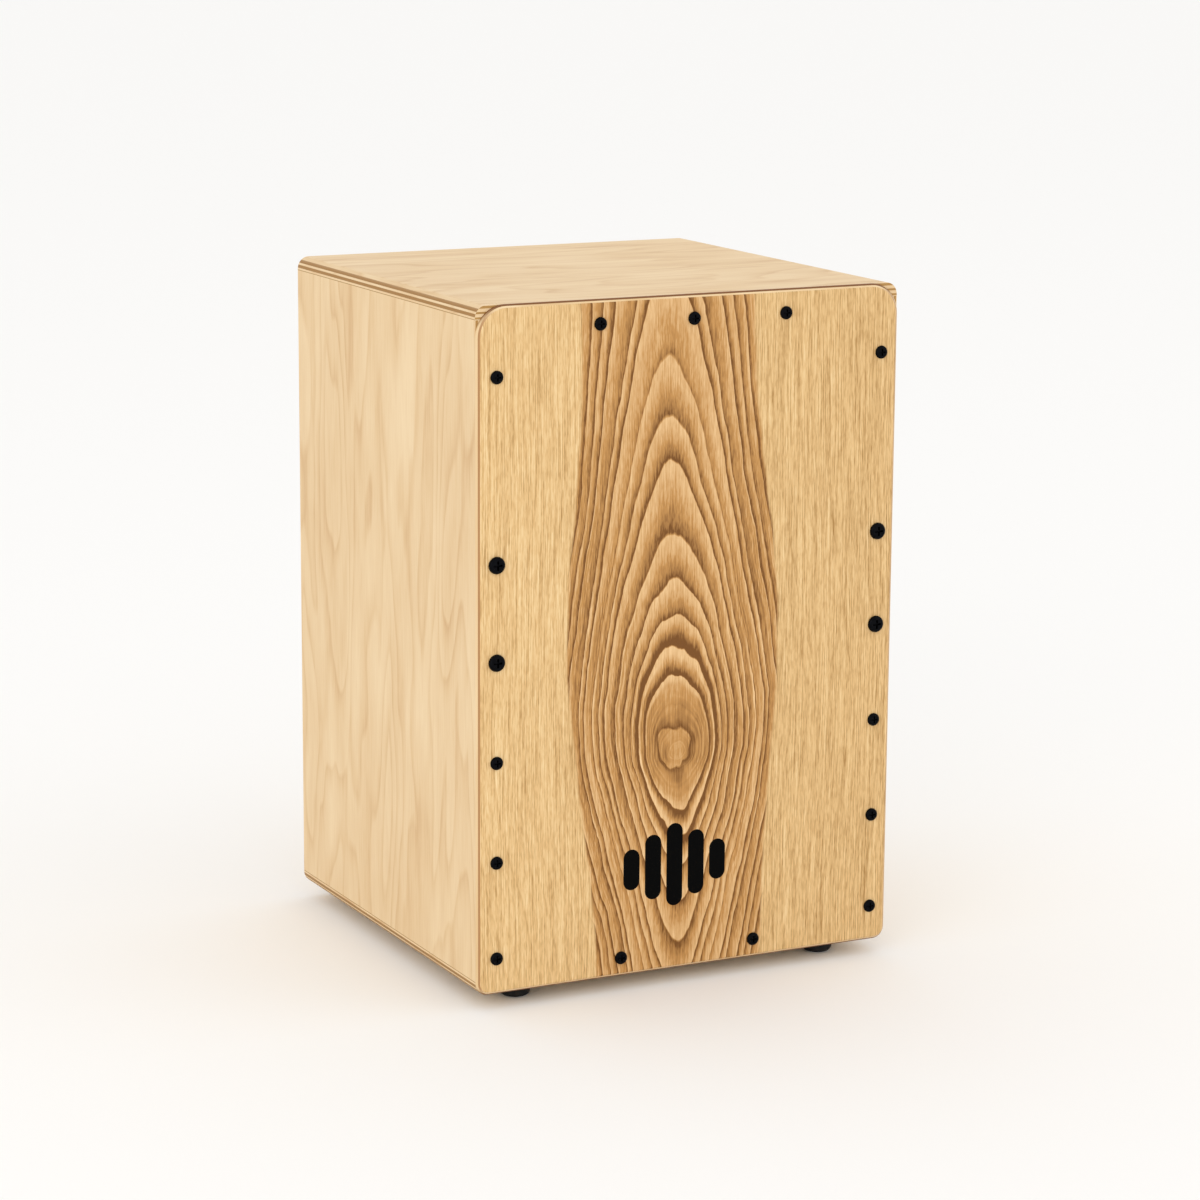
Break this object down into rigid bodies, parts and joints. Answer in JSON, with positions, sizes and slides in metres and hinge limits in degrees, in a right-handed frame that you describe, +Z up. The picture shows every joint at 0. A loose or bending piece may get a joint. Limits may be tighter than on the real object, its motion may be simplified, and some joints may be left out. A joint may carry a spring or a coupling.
{
  "type": "cajon",
  "caption": "Plywood box drum and seat with a thin screwed-on striking plate, a round sound hole in the back, rubber feet and a tilting snare rail inside.",
  "frame": {"origin": "on the floor, under the middle of the whole instrument", "axes": "+Z up, +Y towards the back with the sound hole, -Y towards the striking plate, +X to the right when looking at the striking plate from the front"},
  "size_m": [0.3, 0.2924, 0.45],
  "materials": {
    "birch_plywood": "clear matt lacquer",
    "ash_veneered_plate": "clear satin lacquer",
    "spruce_batten": "bare, planed",
    "beech": "bare, sanded",
    "black_screw_steel": "black oxide, satin",
    "zinc_plated_steel": "bright zinc",
    "brass": "machined",
    "nylon": "matt",
    "nickel_plated_steel": "nickel plate",
    "snare_wire_steel": "drawn wire",
    "rubber": "matt"
  },
  "bodies": {
    "cabinet": {"top_panel": "birch_plywood", "bottom_panel": "birch_plywood", "left_panel": "birch_plywood", "right_panel": "birch_plywood", "back_panel": "birch_plywood", "front_batten_left": "spruce_batten", "front_batten_right": "spruce_batten", "front_batten_top": "spruce_batten", "front_batten_bottom": "spruce_batten", "back_batten_left": "spruce_batten", "back_batten_right": "spruce_batten", "back_batten_top": "spruce_batten", "back_batten_bottom": "spruce_batten", "cheek_block_left": "beech", "cheek_block_right": "beech", "front_plate": "ash_veneered_plate", "plate_screws": "black_screw_steel", "clamp_screws": "black_screw_steel", "foot_screws": "zinc_plated_steel", "foot_washers": "zinc_plated_steel", "friction_washer_left": "nylon", "friction_washer_right": "nylon", "foot_front_left": "rubber", "foot_front_right": "rubber", "foot_back_left": "rubber", "foot_back_right": "rubber"},
    "snare": {"snare_rail": "beech", "pivot_bolt_left": "zinc_plated_steel", "pivot_bolt_right": "zinc_plated_steel", "rail_insert_left": "brass", "rail_insert_right": "brass", "snare_clip_left": "nickel_plated_steel", "snare_clip_right": "nickel_plated_steel", "clip_screws": "zinc_plated_steel", "snare_wires_left": "snare_wire_steel", "snare_wires_right": "snare_wire_steel"}
  },
  "joints": [
    {"name": "snare_tilt", "type": "hinge", "parent": "cabinet", "child": "snare", "pos_m": [0, -0.1103, 0.257], "axis": [-1, 0, 0], "range_deg": [0, 14]}
  ]
}
